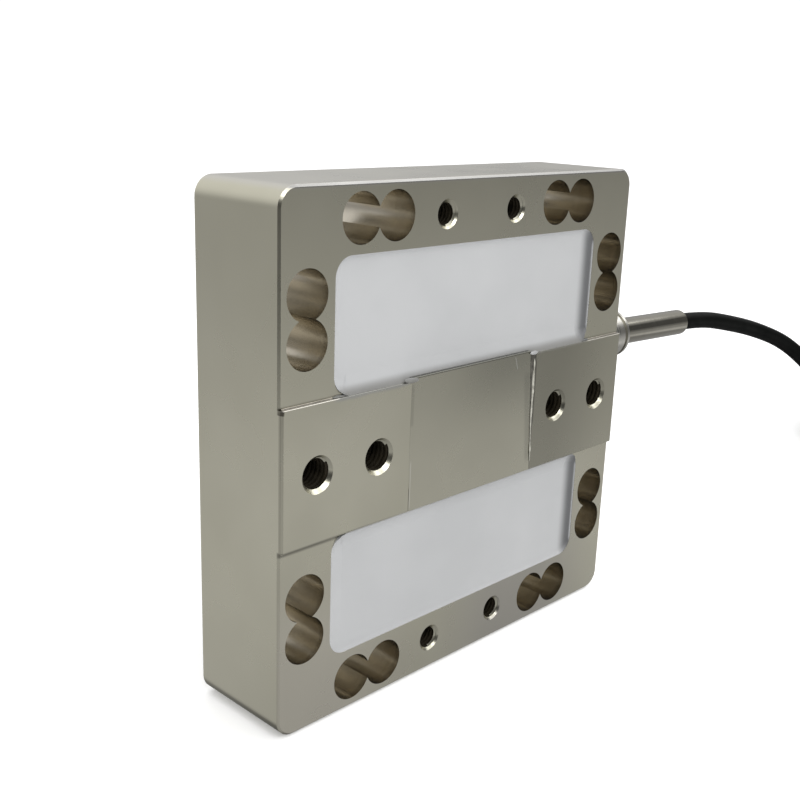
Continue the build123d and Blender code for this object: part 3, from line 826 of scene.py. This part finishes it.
def pour(name, side):
    """One pocket's silicone, its front curved up to the walls."""
    front, rear = frame_front + below_face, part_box(name)[1][1]
    middle_z = bar_middle + side * (pocket_half + bar_half) / 2
    bpy.ops.object.select_all(action="DESELECT")
    bpy.ops.mesh.primitive_cube_add(size=1.0, location=(0.0, (front + rear) / 2, middle_z))
    filling = bpy.context.object
    filling.scale = (2 * pocket_half, rear - front, pocket_half - bar_half)
    bpy.ops.object.transform_apply(location=True, rotation=True, scale=True)
    edit(filling)
    pick(filling, "EDGE", lambda middle, run: abs(run.y) > 0.01)
    bpy.ops.mesh.bevel(offset=corner_radius, segments=10, affect="EDGES")
    pick(filling, "FACE", lambda middle, normal: normal.y < -0.9)
    for width, sink in zip(ring_widths, ring_sinks):
        bpy.ops.mesh.inset(thickness=width, depth=0.0)
        bpy.ops.transform.translate(value=(0.0, sink, 0.0))
    wall_z = bar_middle + side * bar_half
    for reach, climb in bar_side_climbs:
        pick(filling, "VERT", lambda co, _: abs(co.z - wall_z) < reach and co.y < frame_front + 0.002)
        bpy.ops.transform.translate(value=(0.0, -climb, 0.0))
    pick(filling, "VERT", lambda co, _: abs(co.z - wall_z) < bar_side_climbs[0][0] and co.y < frame_front)
    bpy.ops.transform.translate(value=(0.0, 0.0, -side * lip))
    settle(filling, name + "_poured", silicone, "potting_silicone", name)
    bpy.ops.object.shade_smooth_by_angle(angle=radians(50))
    return filling


for filling in (pour("upper_potting", 1), pour("lower_potting", -1)):
    print(filling.name, "faces:", len(filling.data.polygons))

# %% [markdown]
# The old glue shows as a dark wedge in the plate's right-hand seam, with a thin bead of clear sealant
# on it that has a knot near its lower end. A bead like this is drawn with a syringe, so it is made as
# a drawn line: a curve whose radius changes from point to point, turned into a mesh and flattened.

# %% Glue and sealant
sealant, tree, shader = finish("clear_sealant", (0.40, 0.39, 0.34), 0.2, 0.25)
tint(tree, shader, noise(tree, 700.0, 3.0), (0.28, 0.27, 0.23), (0.48, 0.47, 0.41))
relief(tree, shader, noise(tree, 1500.0, 2.0), 0.00004)

old_glue, tree, shader = finish("dark_glue", (0.05, 0.048, 0.04), 0.0, 0.5)
shader.inputs["Specular IOR Level"].default_value = 0.25
tint(tree, shader, noise(tree, 500.0, 3.0), (0.035, 0.033, 0.027), (0.085, 0.081, 0.068))
vary(tree, shader, noise(tree, 800.0, 2.0), 0.25, 0.4)


def bead(name, depth, flat, points):
    """A drawn, flattened bead on the bar's face: each point has its place across, height and radius."""
    drawn_radius = 0.0004
    line = bpy.data.curves.new(name, "CURVE")
    line.dimensions = "3D"
    run = line.splines.new("NURBS")
    run.points.add(len(points) - 1)
    for point, (x, z, radius) in zip(run.points, points):
        point.co = (x, 0.0, z, 1.0)
        point.radius = radius / drawn_radius
    run.order_u = 3
    run.use_endpoint_u = True
    line.bevel_depth = drawn_radius
    line.bevel_resolution = 3
    line.use_fill_caps = True
    piece = bpy.data.objects.new(name, line)
    bpy.context.scene.collection.objects.link(piece)
    select_only(piece)
    bpy.ops.object.convert(target="MESH")
    bpy.context.object.location = (0.0, depth, 0.0)
    bpy.context.object.scale = (1.0, flat, 1.0)
    bpy.ops.object.transform_apply(location=True, rotation=True, scale=True)
    bpy.ops.object.shade_smooth()
    return bpy.context.object


glue = bead("seam_glue", -0.01436, 0.3, [
    (0.0212, 0.0755, 0.00125), (0.0213, 0.0735, 0.00132), (0.0214, 0.0700, 0.00118),
    (0.0217, 0.0655, 0.00104), (0.0218, 0.0600, 0.00088), (0.0221, 0.0545, 0.00072),
    (0.0223, 0.0500, 0.00056), (0.0224, 0.0448, 0.00042),
])
settle(glue, "seam_glue", old_glue, "sealant")
seam = bead("seam_sealant", -0.01468, 0.5, [
    (0.02160, 0.0742, 0.00014), (0.02165, 0.0732, 0.00038), (0.0217, 0.0722, 0.00030),
    (0.0218, 0.0714, 0.00010), (0.0216, 0.0706, 0.00042), (0.0216, 0.0685, 0.00046),
    (0.0218, 0.0655, 0.00042), (0.0217, 0.0637, 0.00024), (0.0217, 0.0605, 0.00034),
    (0.0217, 0.0580, 0.00026), (0.0218, 0.0555, 0.00022), (0.0220, 0.0530, 0.00012),
    (0.0221, 0.0513, 0.00014), (0.0222, 0.0501, 0.00040), (0.0222, 0.0490, 0.00014),
    (0.0224, 0.0468, 0.00007),
])
settle(seam, "seam_sealant", sealant, "sealant", "seam_bead")
print("sealant faces:", len(seam.data.polygons))

# %% [markdown]
# Both seams end at the top in a dab of silicone, and at the ends of the pocket a little of the pour
# ran over the bar's edge. The right-hand dab has picked up dirt and is greyer. A dab is a ball,
# squashed, with its skin pushed about by a cloud texture.

# %% Dabs of silicone on the bar's edge
drop_silicone, tree, shader = finish("drop_silicone", (0.32, 0.322, 0.322), 0.0, 0.3)
tint(tree, shader, noise(tree, 600.0, 3.0), (0.28, 0.282, 0.282), (0.37, 0.372, 0.372))


def dab(name, place, size, tilt, material):
    """A squashed drop of silicone, pressed on the bar's upper edge."""
    bpy.ops.object.select_all(action="DESELECT")
    bpy.ops.mesh.primitive_ico_sphere_add(subdivisions=4, radius=1.0, location=place)
    drop = bpy.context.object
    drop.rotation_euler, drop.scale = (0.0, tilt, 0.0), size
    bpy.ops.object.transform_apply(location=True, rotation=True, scale=True)
    lumps = bpy.data.textures.new(name, "CLOUDS")
    lumps.noise_scale = 0.0009
    push = drop.modifiers.new("lumps", "DISPLACE")
    push.texture, push.strength, push.mid_level = lumps, 0.00025, 0.5
    bpy.ops.object.modifier_apply(modifier="lumps")
    settle(drop, name, material, "potting_silicone")
    bpy.ops.object.shade_smooth()
    return drop


dab("silicone_dab_right", (0.0212, -0.0147, 0.0758), (0.0016, 0.0004, 0.0005), 0.0, drop_silicone)
dab("silicone_dab_left", (-0.0227, -0.01445, 0.0759), (0.0024, 0.0004, 0.0006), 0.12, silicone)
spills = [
    dab(f"silicone_spill_{side}", (x, -0.0136, 0.0757), (0.0026, 0.0006, 0.0004), 0.0, silicone)
    for side, x in (("left", -0.0432), ("right", 0.0432))
]
print("faces on a spill:", len(spills[0].data.polygons))

# %% [markdown]
# The left seam is filled level, down to a little below its middle, with a grey like the plate's own.
# The same kind of drawn line makes it, thin and almost flat, and it tapers out at its lower end.

# %% The filled left seam
left_x = -0.02245
filler = bead("left_seam_filler", -0.01446, 0.3, [
    (left_x, 0.0752, 0.00020), (left_x, 0.0720, 0.00026), (left_x, 0.0640, 0.00030),
    (left_x, 0.0560, 0.00028), (left_x, 0.0515, 0.00016), (left_x, 0.0500, 0.00006),
])
settle(filler, "left_seam_filler", plate_nickel, "sealant")
print("filler faces:", len(filler.data.polygons))

# %% [markdown]
# The cable's jacket is extruded black polyurethane: matt, with a faint grain along its length.

# %% Black jacket
jacket, tree, shader = finish("black_jacket", (0.003, 0.0035, 0.003), 0.0, 0.42)
shader.inputs["Specular IOR Level"].default_value = 0.06
tint(tree, shader, noise(tree, 140.0, 3.0), (0.002, 0.0025, 0.002), (0.004, 0.0045, 0.004))
vary(tree, shader, noise(tree, 300.0, 4.0), 0.38, 0.5)
relief(tree, shader, noise(tree, 1500.0, 3.0), 0.00001)
dress(["cable_tail", "signal_cable", "cable_hank", "end_sleeve", "gland_seal"], jacket)
print("black jacket on the cable")

# %% [markdown]
# The cable is one smooth curve: a NURBS line through listed points, straight out of the sleeve,
# down in a loose bend and along the floor, then round and round in the put-away hank. The hank is an
# oval of turns, two side by side and four high, so its points come from a loop: each turn has its
# own column and layer, and changes to the next one as it comes round the left end.

# %% The cable's route
cable_radius = 0.0027
pitch = 2 * cable_radius
hank_x, hank_y, hank_lift = 0.286, -0.0105, 0.0011
outer_fold, half_straight, stretch = 0.0216, 0.0217, 1.0195
to_the_hank = [
    (0.1126, 0.0005, 0.0692), (0.13056, 0.0005, 0.06844),
    (0.148, -0.0014, 0.0650), (0.165, -0.0026, 0.0608), (0.182, -0.0058, 0.0547),
    (0.1935, -0.0106, 0.046), (0.203, -0.0165, 0.0352), (0.2115, -0.0223, 0.0238), (0.22, -0.0272, 0.013),
    (0.229, -0.0307, 0.0066), (0.2385, -0.0321, 0.0038), (0.248, -0.0321, 0.0038),
]
turns = [(0, 0), (1, 0), (1, 1), (0, 1), (0, 2), (1, 2), (1, 3), (0, 3), (0, 4.1)]
end_of_the_hank = [(0.2585, -0.0321, 0.0259), (0.267, -0.0321, 0.0259)]


def one_turn(column, layer, next_column, next_layer):
    """Points once round the hank, changing to the next column and layer round the left end."""
    radius, z = outer_fold - pitch * column, hank_lift + cable_radius + pitch * layer
    points = [(hank_x + x * half_straight, hank_y - radius, z) for x in (-0.6, 0.0, 0.6)]
    steps = [(i + 0.5) / 8 for i in range(8)]
    for step in steps:
        angle, r = pi * (step - 0.5), stretch * radius
        points.append((hank_x + half_straight + r * cos(angle), hank_y + r * sin(angle), z))
    points += [(hank_x + x * half_straight, hank_y + radius, z) for x in (0.6, 0.0, -0.6)]
    for step in steps:
        share = step * step * (3 - 2 * step)
        angle, r = pi * (step + 0.5), stretch * (radius - pitch * (next_column - column) * share)
        height = z + pitch * (next_layer - layer) * share
        points.append((hank_x - half_straight + r * cos(angle), hank_y + r * sin(angle), height))
    return points


route = list(to_the_hank)
for this_turn, next_turn in zip(turns, turns[1:]):
    route += one_turn(*this_turn, *next_turn)
route += end_of_the_hank
print("points along the cable:", len(route))

# %% [markdown]
# The line gets its thickness as a round bevel. It stays a curve.

# %% The cable itself
line = bpy.data.curves.new("free_cable", "CURVE")
line.dimensions = "3D"
spline = line.splines.new("NURBS")
spline.points.add(len(route) - 1)
for point, place in zip(spline.points, route):
    point.co = (*place, 1.0)
spline.order_u = 3
spline.use_endpoint_u = True
spline.resolution_u = 8
line.bevel_depth = cable_radius
line.bevel_resolution = 6
line.use_fill_caps = True
cable = bpy.data.objects.new("free_cable", line)
bpy.context.scene.collection.objects.link(cable)
cable.data.materials.append(jacket)
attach(cable, "root")
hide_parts("signal_cable", "cable_hank")
print("cable on", len(spline.points), "points")

# %% [markdown]
# The pieces past the gland are small: black nylon ties, a shrink sleeve, coloured leads and tinned
# tips. Each has its own plain plastic or metal, with a little unevenness.

# %% Small finishes
nylon, tree, shader = finish("black_nylon", (0.02, 0.02, 0.02), 0.0, 0.35)
vary(tree, shader, noise(tree, 200.0, 3.0), 0.3, 0.45)
relief(tree, shader, noise(tree, 900.0, 2.0), 0.00001)
dress(["cable_tie_near", "cable_tie_far"], nylon)

lead_colours = {
    1: (0.78, 0.78, 0.75), 2: (0.18, 0.08, 0.03), 3: (0.04, 0.27, 0.09), 4: (0.78, 0.60, 0.03),
    5: (0.30, 0.30, 0.31), 6: (0.75, 0.32, 0.40), 7: (0.03, 0.07, 0.38), 8: (0.52, 0.03, 0.02),
}
for number, colour in lead_colours.items():
    lead, tree, shader = finish(f"lead_colour_{number}", colour, 0.0, 0.35)
    darker = tuple(0.85 * c for c in colour)
    tint(tree, shader, noise(tree, 180.0, 2.0), darker, colour)
    vary(tree, shader, noise(tree, 400.0, 2.0), 0.3, 0.42)
    dress([f"flying_lead_{number}"], lead)

tinned, tree, shader = finish("tinned_copper", (0.75, 0.74, 0.71), 1.0, 0.28)
vary(tree, shader, noise(tree, 1200.0, 3.0), 0.2, 0.4)
relief(tree, shader, noise(tree, 1600.0, 2.0), 0.00003)
dress(["tinned_tips"], tinned)
print("leads dressed:", len(lead_colours))

# %% [markdown]
# Under the cover and in the silicone are the parts that do the measuring. Nobody sees them in the
# finished sensor, but a section would, so each gets its real finish too.

# %% Finishes inside
board, tree, shader = finish("solder_mask", (0.03, 0.19, 0.08), 0.0, 0.3)
tracks = noise(tree, 500.0, 2.0, (1, 1, 0.1))
tint(tree, shader, tracks, (0.025, 0.16, 0.065), (0.04, 0.23, 0.10))
relief(tree, shader, tracks, 0.00002)
dress(["junction_board"] + [n for n in node if n.startswith("terminal_")], board)

foil, tree, shader = finish("gauge_foil", (0.62, 0.36, 0.10), 0.0, 0.3)
grid = noise(tree, 2500.0, 1.0, (1, 1, 0.15))
tint(tree, shader, grid, (0.50, 0.27, 0.07), (0.72, 0.62, 0.45))
vary(tree, shader, grid, 0.25, 0.4)
dress([n for n in node if "_gauge_" in n], foil)

ceramic, tree, shader = finish("resistor_ceramic", (0.03, 0.03, 0.035), 0.0, 0.4)
vary(tree, shader, noise(tree, 900.0, 2.0), 0.3, 0.5)
dress([n for n in node if n.startswith("trim_resistor_")] + ["board_pad"], ceramic)

wire, tree, shader = finish("fine_wires", (0.66, 0.60, 0.50), 0.0, 0.4)
strands = noise(tree, 1400.0, 1.0, (1, 1, 0.2))
tint(tree, shader, strands, (0.50, 0.20, 0.12), (0.75, 0.72, 0.62))
relief(tree, shader, strands, 0.00008)
dress([n for n in node if n.startswith("harness_")] + ["core_bundle"], wire)
print("finishes inside are done")

# %% [markdown]
# What rides on the cable is listed.

on_cable = ["gland_sleeve", "gland_seal", "cable_tail", "cable_tie_near", "cable_tie_far"]
on_cable += ["end_sleeve", "tinned_tips"] + [f"flying_lead_{n}" for n in lead_colours]
